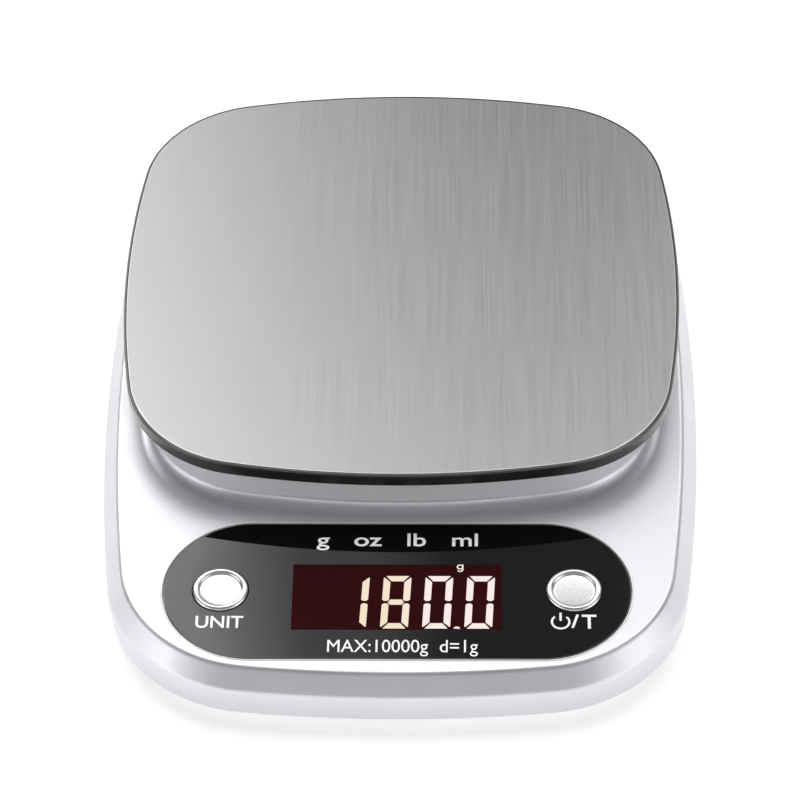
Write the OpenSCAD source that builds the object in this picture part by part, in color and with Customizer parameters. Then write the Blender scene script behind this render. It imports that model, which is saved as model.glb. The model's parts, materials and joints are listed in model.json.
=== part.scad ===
// Digital kitchen scale: silver body, stainless platter on a load cell, two buttons, LED readout.
// Millimetres. +X is the user's right, the panel faces -Y, +Z is up. The origin is on the
// table, under the middle of the body.

/* [Body] */
// Width of the body at its crease
body_w = 175; // [165:1:190]
// Depth of the body at its crease
body_d = 234.5; // [225:0.5:245]
// Radius of the body's corners, seen from above
body_corner = 44.5; // [40:0.5:48]
// How far the left and right sides bow outwards
side_bow = 4.3; // [3:0.1:5]
// How far the front and back bow outwards
front_bow = 2.2; // [1:0.1:3]
// Gap between the table and the body
ground_gap = 2.5; // [2:0.1:4]
// Height of the crease above the body's lower edge
crease_h = 9.1; // [8:0.1:10]
// Height of the deck's front edge above the body's lower edge
edge_h = 15.1; // [14:0.1:16]
// How far the deck's edge lies inside the crease
edge_inset = 4.5; // [4:0.1:5.5]
// Tilt of the deck, rising to the back, in degrees
deck_tilt = 1; // [0.5:0.1:1.2]
// Thickness of the moulded walls
wall = 2.2; // [2:0.1:2.4]

/* [Pedestal] */
// Half width of the pedestal that rises under the platter
ped_half_w = 77.5; // [75:0.5:78]
// Y of the pedestal's front face
ped_front_y = -51.6; // [-53:0.1:-50]
// Y of the pedestal's back face
ped_back_y = 104.5; // [100:0.5:105]
// Height of the line where the cove ends and the upright band starts
band_z = 22.2; // [21.8:0.1:22.6]
// Height of the pedestal's top
ped_top_z = 29.3; // [28.5:0.1:29.4]

/* [Platter] */
// Half width and half depth of the steel plate
plate_half = 82; // [80:0.1:84]
// Y of the platter's middle
platter_y = 29.5; // [28:0.1:32]
// Height of the steel surface above the table
platter_z = 34.6; // [33:0.1:35]
// Thickness of the steel plate
plate_t = 0.9; // [0.6:0.1:1.2]
// Height of the black rim
rim_h = 4.3; // [4.2:0.1:4.5]
// How far the platter sinks at full load
platter_travel = 0.5; // [0.3:0.1:0.6]

/* [Control panel] */
// Length of the panel
panel_l = 132.2; // [125:0.1:135]
// Height of the panel, also the diameter of its round ends
panel_h = 50.5; // [48:0.1:51]
// Y of the panel's middle
panel_y = -82.3; // [-83.5:0.1:-82]
// Distance of each button from the middle
button_x = 49.9; // [47:0.1:51]
// Diameter of the buttons
button_d = 15.7; // [14:0.1:16]
// Width of the display window
window_w = 59.2; // [55:0.1:60]
// Height of the display window
window_h = 24.5; // [22:0.1:26]
// Display window's middle below the panel's middle
window_drop = 2.5; // [2:0.1:3]
// How far a button goes down
button_travel = 0.5; // [0.3:0.1:0.6]

/* [Load cell] */
// Length of the beam
cell_l = 80; // [75:1:82]
// Width and height of the beam
cell_w = 12.7; // [12:0.1:13]
// Height of the beam's underside above the table
cell_z = 7; // [6.8:0.1:7.2]

/* [Batteries] */
// Diameter of an AAA cell
aaa_d = 10.5; // [10.2:0.1:10.5]
// Length of an AAA cell
aaa_l = 44.5; // [44:0.1:45]
// X of the compartment's left end, inside
bay_x = -77.2; // [-78:0.1:-76]
// Y of the compartment's front, inside
bay_y = 5.8; // [5:0.1:7]

/* [Hidden] */
$fn = 48;

// Corner and side steps of every rounded outline
corner_steps = 12;
side_steps = 6;

// Body levels
low_z = ground_gap;
crease_z = low_z + crease_h;
edge_z = low_z + edge_h;
half_w = body_w / 2;
half_d = body_d / 2;
edge_front_y = edge_inset - half_d;

// Pedestal outline
ped_y = (ped_front_y + ped_back_y) / 2;
ped_half_d = (ped_back_y - ped_front_y) / 2;
ped_corner = 33.5;
ped_side_bow = 4;
ped_front_bow = 3.6;
band_step = 0.4;
cove_half_w = ped_half_w + 2.3;
cove_front_y = ped_front_y - 4.7;
cove_back_y = ped_back_y + 2;
cove_corner = 36;
cove_side_bow = 3.6;
cove_front_bow = 2.2;

// Platter levels
rim_w = 0.8;
rim_top_z = platter_z - 0.15;
rim_low_z = rim_top_z - rim_h;
plate_low_z = platter_z - plate_t;
web_low_z = plate_low_z - 1.9;
plate_corner = 37.2;
plate_side_bow = 3;
plate_front_bow = 3.9;
bracket_t = 1.4;
bracket_low_z = web_low_z - bracket_t;

// Base
base_gap = 0.25;
base_inset = 2.4 + base_gap;
base_low_z = low_z + 0.4;
floor_t = 2;
floor_z = base_low_z + floor_t;
rim_wall = 1.6;
rim_wall_z = 8.5;
boss_joint_z = 8;

// Feet and housing screws, on both sides
foot_x = 64;
foot_y = 88;
foot_r = 8;
foot_sink = 0.8;
screw_spots = [[-72, -66], [72, -66], [-50, 104], [50, 104]];

// Label recess under the floor
label_x = -8;
label_y = -34;
label_l = 66;
label_w = 34;

// Panel stack, as depths below the deck
panel_t = 1;
panel_gap = 0.15;
module_top = 1.2;
board_top = 7.6;
board_t = 1.6;
board_w = 112;
board_h = 38;
board_spots = [[-52, -15.5], [52, -15.5], [-52, 15.5], [52, 15.5]];
button_gap = 0.3;
switch_h = 3.5;
stem_top = 3.5;

// Load cell
cell_back_y = platter_y + cell_l / 2;
cell_front_y = platter_y - cell_l / 2;
cell_hole_d = 4.1;
cell_screw_d = 3.9;
end_holes = [5, 20];
spacer_l = 25;
seat_z = 5.5;
stop_gap = platter_travel + 0.15;

// Battery bay
bay_l = 50;
bay_w = 22.6;
bay_top_z = 15.6;
bay_wall = 1.4;
bay_back_y = bay_y + bay_w;
bay_end_x = bay_x + bay_l;
cell_axis_z = 10.1;
front_cell_y = bay_y + bay_w / 4;
rear_cell_y = bay_y + bay_w * 3 / 4;
door_t = 1.4;
door_ledge = 1.2;
door_gap = 0.3;
knuckle_r = 1.2;
hinge_y = bay_back_y - 0.4;
hinge_z = base_low_z + knuckle_r;
pin_r = 0.7;
pin_l = 1.6;

// Wire routes, by hand
sensor_route = [[6.5, 50, 13], [10, 49, 11.5], [14, 44, 8], [16, 34, 6.8], [16, 16, 6.6],
    [17, -4, 6.6], [20, -24, 6.6], [24, -44, 6.6], [26, -56, 6.8], [26, -63, 7.3]];
red_route = [[-24.4, 11.4, 12], [-22, 9.5, 10.5], [-20.5, 5, 7.5], [-20, -6, 6],
    [-21, -26, 5.8], [-22, -46, 5.8], [-22, -58, 6], [-22, -65, 7], [-22, -70, 8.6]];
black_route = [[-24.4, 22.8, 12], [-20, 21.5, 10.5], [-17.5, 16, 7.5], [-17, 2, 6],
    [-17.5, -20, 5.8], [-18.5, -44, 5.8], [-19, -58, 6], [-19, -65, 7], [-19, -70, 8.6]];

// ---- Outlines and lofts ----

// Radius of a bowed side: tangent to both corner arcs, with their middles at distance off
// from the side's own middle line
function bow_radius(corner, bow, off) = (2 * corner * bow + bow * bow + off * off) / (2 * bow);

function arc_points(cx, cy, radius, from, to, steps) =
    [for (i = [0 : steps - 1])
        let (a = from + (to - from) * i / steps)
        [cx + radius * cos(a), cy + radius * sin(a)]];

// Rounded rectangle with bowed sides, anticlockwise from the right side's lower end
function bowed_outline(hw, hd, side, front, corner) =
    let (
        cx = hw - corner - side,
        cy = hd - corner - front,
        side_r = bow_radius(corner, side, cy),
        front_r = bow_radius(corner, front, cx),
        side_a = atan2(cy, cx - hw + side_r),
        front_a = atan2(cy - hd + front_r, cx)
    )
    concat(
        arc_points(hw - side_r, 0, side_r, -side_a, side_a, side_steps),
        arc_points(cx, cy, corner, side_a, front_a, corner_steps),
        arc_points(0, hd - front_r, front_r, front_a, 180 - front_a, side_steps),
        arc_points(-cx, cy, corner, 180 - front_a, 180 - side_a, corner_steps),
        arc_points(side_r - hw, 0, side_r, 180 - side_a, 180 + side_a, side_steps),
        arc_points(-cx, -cy, corner, 180 + side_a, 180 + front_a, corner_steps),
        arc_points(0, front_r - hd, front_r, 180 + front_a, 360 - front_a, side_steps),
        arc_points(cx, -cy, corner, 360 - front_a, 360 - side_a, corner_steps)
    );

function moved(points, dy) = [for (p = points) [p[0], p[1] + dy]];

function body_outline(inset) =
    bowed_outline(half_w - inset, half_d - inset, side_bow, front_bow, body_corner - inset);

function ped_outline(inset) = moved(
    bowed_outline(ped_half_w - inset, ped_half_d - inset,
        ped_side_bow, ped_front_bow, ped_corner - inset), ped_y);

function cove_outline() = moved(
    bowed_outline(cove_half_w, (cove_back_y - cove_front_y) / 2,
        cove_side_bow, cove_front_bow, cove_corner), (cove_front_y + cove_back_y) / 2);

function platter_outline(grow) = moved(
    bowed_outline(plate_half + grow, plate_half + grow,
        plate_side_bow, plate_front_bow, plate_corner + grow), platter_y);

// Stadium: a rectangle with fully round ends
function stadium(length, height) = concat(
    arc_points((length - height) / 2, 0, height / 2, -90, 90, 24),
    arc_points((height - length) / 2, 0, height / 2, 90, 270, 24));

function deck_z(y) = edge_z + (y - edge_front_y) * tan(deck_tilt);
function level(points, z) = [for (p = points) [p[0], p[1], z]];
// A ring that lies on the deck's plane, or below it by drop
function on_plane(points, drop) = [for (p = points) [p[0], p[1], deck_z(p[1]) - drop]];

// Point of a curve with ends a and c and corner b
function bend(a, b, c, t) = a * (1 - t) * (1 - t) + b * 2 * t * (1 - t) + c * t * t;

// Closed solid through a stack of rings with equally many points
module loft(rings) {
    n = len(rings[0]);
    last = (len(rings) - 1) * n;
    sides = [for (i = [0 : len(rings) - 2], j = [0 : n - 1])
        let (k = (j + 1) % n, a = i * n, b = a + n)
        each [[a + j, b + j, b + k], [a + j, b + k, a + k]]];
    polyhedron(
        points = [for (ring = rings) each ring],
        faces = concat([[for (j = [0 : n - 1]) j]], sides,
            [[for (j = [n - 1 : -1 : 0]) last + j]]));
}

// Puts children on the deck, with z = 0 on its surface
module on_deck(x, y) {
    translate([x, y, deck_z(y)]) rotate([deck_tilt, 0, 0]) children();
}

module on_panel(x, y) {
    on_deck(0, panel_y) translate([x, y, 0]) children();
}

module block(from, to) {
    translate(from) cube(to - from);
}

// Rounded bar along Y
module y_cylinder(x, z, r, from, to) {
    translate([x, to, z]) rotate([90, 0, 0]) cylinder(r = r, h = to - from);
}

module x_cylinder(y, z, r, from, to) {
    translate([from, y, z]) rotate([0, 90, 0]) cylinder(r = r, h = to - from);
}

// Smooth point of a route, between its points i and i + 1
function route_at(route, i, t) =
    let (
        last = len(route) - 1,
        a = route[max(i - 1, 0)], b = route[i],
        c = route[min(i + 1, last)], d = route[min(i + 2, last)]
    )
    0.5 * (2 * b + (c - a) * t + (2 * a - 5 * b + 4 * c - d) * t * t
        + (3 * b - a - 3 * c + d) * t * t * t);

function route_points(route, steps) = concat(
    [for (i = [0 : len(route) - 2], s = [0 : steps - 1]) route_at(route, i, s / steps)],
    [route[len(route) - 1]]);

function unit(v) = v / norm(v);

// Wire of diameter d along a route that is nowhere upright
module wire(route, d, sides = 8, steps = 3) {
    path = route_points(route, steps);
    last = len(path) - 1;
    loft([for (i = [0 : last])
        let (
            along = unit(path[min(i + 1, last)] - path[max(i - 1, 0)]),
            across = unit(cross(along, [0, 0, 1])),
            up = cross(across, along)
        )
        [for (s = [0 : sides - 1])
            path[i] + (d / 2) * (cos(s * 360 / sides) * across + sin(s * 360 / sides) * up)]]);
}

// ---- Housing ----

// Where the wall turns into the deck
wall_top = [3.2, 1.7];
deck_rim = [6.4, 0];

// Ring of the rounded deck edge: inset and drop below the deck's plane
function edge_ring(t) =
    let (p = bend(wall_top, [edge_inset, 0], deck_rim, t))
    on_plane(body_outline(p[0]), p[1]);

// Ring of the rounded crease
function crease_ring(t) =
    let (p = bend([0, crease_z - 0.8], [0, crease_z], [0.6, crease_z + 0.8], t))
    level(body_outline(p[0]), p[1]);

// Ring of the hollow cove round the pedestal, from the deck (0) to the band (90 degrees)
function cove_ring(a) =
    let (
        outer = cove_outline(),
        inner = ped_outline(band_step)
    )
    [for (i = [0 : len(outer) - 1])
        let (
            p = outer[i] + (inner[i] - outer[i]) * sin(a),
            low = deck_z(p[1])
        )
        [p[0], p[1], band_z - (band_z - low) * cos(a)]];

module shell_wall() {
    loft([
        level(ped_outline(wall), ped_top_z - wall),
        on_plane(ped_outline(wall), wall),
        on_plane(body_outline(5.9), wall),
        level(body_outline(2.6), crease_z - 0.4),
        level(body_outline(2.4), low_z),
        level(body_outline(0.8), low_z),
        level(body_outline(0.35), low_z + 0.5),
        crease_ring(0), crease_ring(0.5), crease_ring(1),
        edge_ring(0), edge_ring(0.25), edge_ring(0.5), edge_ring(0.75), edge_ring(1),
        cove_ring(0), cove_ring(22), cove_ring(45), cove_ring(68), cove_ring(90),
        level(ped_outline(0.05), band_z + 0.15),
        level(ped_outline(0), band_z + 0.5),
        level(ped_outline(0), ped_top_z - 0.5),
        level(ped_outline(0.5), ped_top_z)]);
}

// Recess for the control panel, with a chamfered lip
module panel_recess() {
    on_panel(0, 0) {
        translate([0, 0, -panel_t])
            linear_extrude(panel_t + 1)
                polygon(stadium(panel_l + 2 * panel_gap, panel_h + 2 * panel_gap));
        loft([level(stadium(panel_l, panel_h), -0.5),
            level(stadium(panel_l + 1.6, panel_h + 1.6), 0.25)]);
    }
}

module top_shell() {
    color("gainsboro")
    difference() {
        union() {
            shell_wall();
            for (spot = screw_spots)
                translate([spot[0], spot[1], boss_joint_z + 0.2])
                    cylinder(r = 3.4, h = deck_z(spot[1]) - wall + 0.6 - boss_joint_z);
            for (spot = board_spots)
                on_panel(spot[0], spot[1])
                    translate([0, 0, -board_top])
                        cylinder(r = 2.6, h = board_top - wall + 0.4);
        }
        panel_recess();
        on_panel(0, -window_drop)
            translate([0, 0, -3])
                cube([window_w + 0.8, window_h + 0.8, 6], center = true);
        for (side = [-1, 1])
            on_panel(side * button_x, 0)
                translate([0, 0, -6])
                    cylinder(d = button_d + 2 * button_gap, h = 10);
        for (spot = screw_spots)
            translate([spot[0], spot[1], boss_joint_z - 1])
                cylinder(r = 1.2, h = 8);
        for (spot = board_spots)
            on_panel(spot[0], spot[1])
                translate([0, 0, -board_top - 1])
                    cylinder(r = 1, h = 4.6);
        block([-10, cell_front_y - 3, ped_top_z - 4], [10, cell_front_y + spacer_l + 3, 30]);
    }
}

// Outline polygon of the base, shrunk by a further inset
module base_shape(inset) {
    polygon(body_outline(base_inset + inset));
}

// Lugs that hold the door's hinge pins
module hinge_lugs() {
    for (x = [bay_x - door_ledge - 2.4, bay_end_x + door_ledge])
        block([x, hinge_y - 2, base_low_z], [x + 2.4, hinge_y + 2, floor_z + 1.4]);
}

module bay_walls() {
    difference() {
        block([bay_x - bay_wall, bay_y - bay_wall, floor_z - 0.5],
            [bay_end_x + bay_wall, bay_back_y + bay_wall, bay_top_z + 1.2]);
        block([bay_x, bay_y, base_low_z - 1], [bay_end_x, bay_back_y, bay_top_z]);
    }
}

module door_opening() {
    block([bay_x - door_ledge, bay_y - door_ledge, base_low_z - 1],
        [bay_end_x + door_ledge, bay_back_y + door_ledge, base_low_z + door_t + 0.05]);
    block([bay_x, bay_y, base_low_z - 1], [bay_end_x, bay_back_y, floor_z + 1]);
    block([bay_x - door_ledge, hinge_y - knuckle_r - door_gap, base_low_z - 1],
        [bay_end_x + door_ledge, hinge_y + knuckle_r + door_gap, hinge_z + knuckle_r + door_gap]);
}

module base_shell() {
    color("lightgray")
    difference() {
        union() {
            translate([0, 0, base_low_z]) linear_extrude(floor_t) base_shape(0);
            translate([0, 0, base_low_z])
                linear_extrude(rim_wall_z - base_low_z)
                    difference() {
                        base_shape(0);
                        base_shape(rim_wall);
                    }
            for (spot = screw_spots)
                translate([spot[0], spot[1], base_low_z])
                    cylinder(r = 4.4, h = boss_joint_z - base_low_z);
            block([-11, cell_back_y - spacer_l - 2, base_low_z], [11, cell_back_y + 2, seat_z]);
            translate([0, cell_front_y + 12.5, base_low_z])
                cylinder(r = 5, h = cell_z - stop_gap - base_low_z);
            bay_walls();
            hinge_lugs();
            // Stiffening ribs across the floor
            for (y = [-40, -20, 84])
                block([-70, y - 0.6, floor_z - 0.5], [-30, y + 0.6, floor_z + 1]);
            for (y = [-40, -20, 20, 50, 84])
                block([30, y - 0.6, floor_z - 0.5], [70, y + 0.6, floor_z + 1]);
        }
        for (x = [-foot_x, foot_x], y = [-foot_y, foot_y])
            translate([x, y, base_low_z - 1]) cylinder(r = foot_r + 0.1, h = 1 + foot_sink);
        for (spot = screw_spots) {
            translate([spot[0], spot[1], base_low_z - 1]) cylinder(r = 1.6, h = 10);
            translate([spot[0], spot[1], base_low_z - 1]) cylinder(r = 3.1, h = 3.4);
        }
        for (hole = end_holes) {
            translate([0, cell_back_y - hole, base_low_z - 1]) cylinder(d = 4.4, h = 8);
            translate([0, cell_back_y - hole, base_low_z - 1])
                cylinder(d = 7.8, h = seat_z - base_low_z + 0.4);
        }
        // Recess for a label, and a groove round the floor's edge
        block([label_x, label_y, base_low_z - 1],
            [label_x + label_l, label_y + label_w, base_low_z + 0.25]);
        translate([0, 0, base_low_z - 1])
            linear_extrude(1.5)
                difference() {
                    base_shape(4);
                    base_shape(5);
                }
        door_opening();
        x_cylinder(hinge_y, hinge_z, pin_r + 0.08,
            bay_x - door_ledge - pin_l - 0.2, bay_end_x + door_ledge + pin_l + 0.2);
        for (y = [front_cell_y, rear_cell_y])
            block([bay_end_x - 0.5, y - 1.6, 11], [bay_end_x + bay_wall + 1, y + 1.6, 13]);
    }
}

module battery_door() {
    front = bay_y - door_ledge + door_gap;
    left = bay_x - door_ledge + door_gap;
    right = bay_end_x + door_ledge - door_gap;
    color("lightgray")
    difference() {
        union() {
            block([left, front, base_low_z], [right, hinge_y, base_low_z + door_t]);
            x_cylinder(hinge_y, hinge_z, knuckle_r, left, right);
            x_cylinder(hinge_y, hinge_z, pin_r, left - pin_l, right + pin_l);
            // Ribs that steady the cells
            for (x = [bay_x + 12, bay_x + bay_l / 2, bay_x + bay_l - 12])
                block([x - 0.6, bay_y + 1.5, base_low_z + door_t - 0.2],
                    [x + 0.6, bay_back_y - 3, base_low_z + door_t + 0.45]);
        }
        // Thumb recess, with grip ridges left standing
        for (i = [0 : 2])
            block([bay_x + bay_l / 2 - 7, front + 2 + i * 1.8, base_low_z - 1],
                [bay_x + bay_l / 2 + 7, front + 3 + i * 1.8, base_low_z + 0.6]);
    }
}

module foot(x, y) {
    color("dimgray")
    translate([x, y, 0])
        rotate_extrude()
            polygon([[0, 0.3], [foot_r - 2.6, 0.3], [foot_r - 2.2, 0], [foot_r - 0.7, 0],
                [foot_r, 0.7], [foot_r, base_low_z + foot_sink], [0, base_low_z + foot_sink]]);
}

module foot_front_left() foot(-foot_x, -foot_y);
module foot_front_right() foot(foot_x, -foot_y);
module foot_rear_left() foot(-foot_x, foot_y);
module foot_rear_right() foot(foot_x, foot_y);

// Screw pointing up from z = 0, with its head below
module screw(shaft_d, shaft_l, head_d, head_h) {
    difference() {
        union() {
            cylinder(d = shaft_d, h = shaft_l);
            translate([0, 0, -head_h]) cylinder(d = head_d, h = head_h);
        }
        // Cross recess
        for (turn = [0, 90])
            rotate([0, 0, turn])
                block([-head_d * 0.3, -head_d * 0.07, -head_h - 1],
                    [head_d * 0.3, head_d * 0.07, -head_h * 0.45]);
    }
}

module housing_screws() {
    color("silver")
    for (spot = screw_spots)
        translate([spot[0], spot[1], base_low_z + 2.4]) screw(2.3, 9, 5.6, 1.8);
}

// ---- Platter and load cell ----

module platter_plate() {
    color("lightgray")
    loft([
        level(platter_outline(-0.25), plate_low_z),
        level(platter_outline(0), plate_low_z + 0.2),
        level(platter_outline(0), platter_z - 0.25),
        level(platter_outline(-0.08), platter_z - 0.08),
        level(platter_outline(-0.3), platter_z)]);
}

module platter_tray() {
    grow = rim_w;
    color("black")
    difference() {
        union() {
            loft([
                level(platter_outline(grow - 2.2), web_low_z),
                level(platter_outline(grow - 2.2), rim_low_z),
                level(platter_outline(grow - 0.6), rim_low_z),
                level(platter_outline(grow - 0.12), rim_low_z + 0.25),
                level(platter_outline(grow), rim_low_z + 0.7),
                level(platter_outline(grow), rim_top_z - 0.6),
                level(platter_outline(grow - 0.15), rim_top_z - 0.15),
                level(platter_outline(grow - 0.45), rim_top_z),
                level(platter_outline(0.12), rim_top_z),
                level(platter_outline(0.12), plate_low_z)]);
            // Ribs under the web, clear of the bracket
            for (y = [platter_y - 60, platter_y + 60])
                block([-60, y - 0.7, web_low_z - 1], [60, y + 0.7, web_low_z + 0.3]);
            for (y = [platter_y - 36, platter_y + 36], side = [-1, 1])
                translate([side * 44, y, web_low_z - 0.35])
                    cube([48, 1.4, 1.3], center = true);
        }
        for (hole = end_holes)
            translate([0, cell_front_y + hole, web_low_z - 1]) cylinder(d = 9, h = 5);
        for (x = [-48, 48], y = [-18, 18])
            translate([x, platter_y + y, web_low_z - 1]) {
                cylinder(d = 3.4, h = 5);
                translate([0, 0, 1.7]) cylinder(d = 6.2, h = 4);
            }
    }
}

module platter_bracket() {
    color("silver")
    difference() {
        union() {
            block([-56, platter_y - 24, bracket_low_z], [56, platter_y - 10, web_low_z]);
            block([-56, platter_y + 10, bracket_low_z], [56, platter_y + 24, web_low_z]);
            block([-16, cell_front_y - 1, bracket_low_z], [16, platter_y + 24, web_low_z]);
        }
        for (hole = end_holes)
            translate([0, cell_front_y + hole, bracket_low_z - 1]) cylinder(d = 4.4, h = 5);
        for (x = [-48, 48], y = [-18, 18])
            translate([x, platter_y + y, bracket_low_z - 1]) cylinder(d = 3.1, h = 5);
        translate([0, platter_y, bracket_low_z - 1]) cylinder(d = 12, h = 5);
    }
}

module bracket_screws() {
    color("silver")
    for (x = [-48, 48], y = [-18, 18])
        translate([x, platter_y + y, web_low_z + 0.7])
            rotate([180, 0, 0]) screw(2.9, 0.7 + bracket_t, 5.6, 1);
}

module load_cell() {
    middle_z = cell_z + cell_w / 2;
    color("silver")
    difference() {
        block([-cell_w / 2, cell_front_y, cell_z], [cell_w / 2, cell_back_y, cell_z + cell_w]);
        for (dy = [-10, 10])
            x_cylinder(platter_y + dy, middle_z, 4.9, -10, 10);
        block([-10, platter_y - 10, middle_z - 2.5], [10, platter_y + 10, middle_z + 2.5]);
        for (hole = end_holes, y = [cell_back_y - hole, cell_front_y + hole])
            translate([0, y, cell_z - 1]) cylinder(d = cell_hole_d, h = cell_w + 2);
    }
}

module gauge_coating() {
    color("white") {
        block([-5, platter_y - 15, cell_z + cell_w], [5, platter_y + 15, cell_z + cell_w + 1.1]);
        block([-5, platter_y - 15, cell_z - 1.1], [5, platter_y + 15, cell_z]);
    }
}

// Spacer block with the two screw holes of a beam's end
module cell_spacer(y, from_z, to_z) {
    difference() {
        block([-6.5, y - spacer_l / 2, from_z], [6.5, y + spacer_l / 2, to_z]);
        for (dy = [-7.5, 7.5])
            translate([0, y + dy, from_z - 1]) cylinder(d = 4.4, h = to_z - from_z + 2);
    }
}

module lower_spacer() {
    color("silver") cell_spacer(cell_back_y - 12.5, seat_z, cell_z);
}

module upper_spacer() {
    color("silver") cell_spacer(cell_front_y + 12.5, cell_z + cell_w, bracket_low_z);
}

module lower_cell_screws() {
    color("silver")
    for (hole = end_holes)
        translate([0, cell_back_y - hole, base_low_z + 2.0])
            screw(cell_screw_d, 12, 7, 1.9);
}

module upper_cell_screws() {
    color("silver")
    for (hole = end_holes)
        translate([0, cell_front_y + hole, web_low_z])
            rotate([180, 0, 0]) screw(cell_screw_d, 20, 7.6, 1.6);
}

module sensor_lead() {
    color("white") wire(sensor_route, 2.4);
}

// ---- Control panel and electronics ----

module control_panel() {
    color("black")
    on_panel(0, 0)
    difference() {
        translate([0, 0, -panel_t])
            linear_extrude(panel_t) polygon(stadium(panel_l, panel_h));
        translate([0, -window_drop, 0])
            cube([window_w, window_h, 4], center = true);
        for (side = [-1, 1])
            translate([side * button_x, 0, -3])
                cylinder(d = button_d + 2 * button_gap, h = 6);
    }
}

module display_window() {
    color("darkred")
    on_panel(0, -window_drop)
        translate([-window_w / 2 + 0.05, -window_h / 2 + 0.05, -panel_t])
            cube([window_w - 0.1, window_h - 0.1, panel_t - 0.02]);
}

module display_module() {
    color("dimgray")
    on_panel(0, -window_drop)
        block([-window_w / 2 + 0.4, -window_h / 2 + 0.4, -board_top],
            [window_w / 2 - 0.4, window_h / 2 - 0.4, -module_top]);
}

module circuit_board() {
    color("darkgreen")
    on_panel(0, 0)
    difference() {
        block([-board_w / 2, -board_h / 2, -board_top - board_t],
            [board_w / 2, board_h / 2, -board_top]);
        for (spot = board_spots)
            translate([spot[0], spot[1], -board_top - 3]) cylinder(r = 1.3, h = 6);
    }
}

module board_screws() {
    color("silver")
    for (spot = board_spots)
        on_panel(spot[0], spot[1])
            translate([0, 0, -board_top - board_t]) screw(1.9, 4.8, 4.4, 1.3);
}

module controller_chip() {
    color("black")
    on_panel(-4, 4)
        translate([0, 0, -board_top - board_t])
            rotate([180, 0, 0])
                rotate_extrude()
                    polygon([[0, 0], [7, 0], [6.6, 0.8], [5, 1.4], [2.5, 1.7], [0, 1.8]]);
}

module sensor_socket() {
    color("white")
    on_panel(26, 14)
        block([-5, -3, -board_top - board_t - 3.4], [5, 3, -board_top - board_t]);
}

module tact_switch(side) {
    color("black")
    on_panel(side * button_x, 0)
    difference() {
        block([-3, -3, -board_top], [3, 3, switch_h - board_top]);
        translate([0, 0, -board_top + 1]) cylinder(d = 3.8, h = 5);
    }
}

module unit_switch() tact_switch(-1);
module power_switch() tact_switch(1);

module switch_stem(side) {
    color("ivory")
    on_panel(side * button_x, 0)
        translate([0, 0, -board_top + 1 + button_travel + 0.1])
            cylinder(d = 3.5, h = board_top - stem_top - 1 - button_travel - 0.1);
}

module unit_switch_stem() switch_stem(-1);
module power_switch_stem() switch_stem(1);

// Plated cap: a raised ring, a dished middle, a skirt and a plunger onto the switch
module button_cap(side) {
    r = button_d / 2;
    color("silver")
    on_panel(side * button_x, 0)
        rotate_extrude()
            polygon(concat(
                [[0, -stem_top], [1.5, -stem_top], [1.5, -1.2], [r - 1.6, -1.2],
                    [r - 1.6, -2.2], [r, -2.2], [r, 0.5]],
                [for (a = [0 : 30 : 150])
                    [r - 0.75 + 0.75 * cos(a), 0.5 + 0.75 * sin(a)]],
                [for (i = [0 : 6])
                    let (s = (r - 1.55) * (1 - i / 6))
                    [s, 0.15 + 0.55 * pow(s / (r - 1.55), 2)]]));
}

module unit_button() button_cap(-1);
module power_button() button_cap(1);

// ---- Batteries ----

// AAA cell along X, with its positive nub at the right or the left end
module aaa_cell(y, nub_right) {
    nub_l = 0.9;
    can_l = aaa_l - nub_l;
    left = bay_x + 3.4;
    nub_x = nub_right ? left + can_l : left - nub_l;
    x_cylinder(y, cell_axis_z, aaa_d / 2, left, left + can_l);
    x_cylinder(y, cell_axis_z, 1.9, nub_x, nub_x + nub_l);
}

module battery_front() {
    color("goldenrod") aaa_cell(front_cell_y, true);
}

module battery_rear() {
    color("goldenrod") aaa_cell(rear_cell_y, false);
}

// Conical coil spring along X, from its wide end at x = 0 to its tip
module contact_spring(length, big_r, small_r) {
    turns = 3;
    steps = 14;
    sides = 6;
    wire_r = 0.3;
    loft([for (i = [0 : turns * steps])
        let (
            t = i / (turns * steps),
            a = 360 * turns * t,
            r = big_r + (small_r - big_r) * t,
            middle = [wire_r + (length - 2 * wire_r) * t, r * cos(a), r * sin(a)],
            out = [0, cos(a), sin(a)]
        )
        [for (s = [0 : sides - 1])
            middle + wire_r * (cos(s * 360 / sides) * out - [sin(s * 360 / sides), 0, 0])]]);
}

// Bridge between the two cells at the left end: a flat pad and a spring on one strip
module contact_bridge() {
    color("silver") {
        block([bay_x + 0.05, bay_y + 1, cell_axis_z - 4],
            [bay_x + 0.4, bay_back_y - 1, cell_axis_z + 4]);
        translate([bay_x + 0.4, front_cell_y, cell_axis_z]) contact_spring(2.9, 3.4, 2);
    }
}

module contact_plate(y) {
    block([bay_end_x - 0.4, y - 4, cell_axis_z - 4], [bay_end_x - 0.05, y + 4, cell_axis_z + 4]);
    block([bay_end_x - 0.2, y - 1.4, 11.4], [bay_end_x + bay_wall + 1.2, y + 1.4, 11.8]);
}

module contact_positive() {
    color("silver") contact_plate(front_cell_y);
}

module contact_negative() {
    color("silver") {
        contact_plate(rear_cell_y);
        translate([bay_end_x - 0.4, rear_cell_y, cell_axis_z])
            rotate([0, 0, 180]) contact_spring(1.9, 3.4, 2);
    }
}

module battery_lead_red() {
    color("red") wire(red_route, 1.3);
}

module battery_lead_black() {
    color("black") wire(black_route, 1.3);
}

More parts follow.
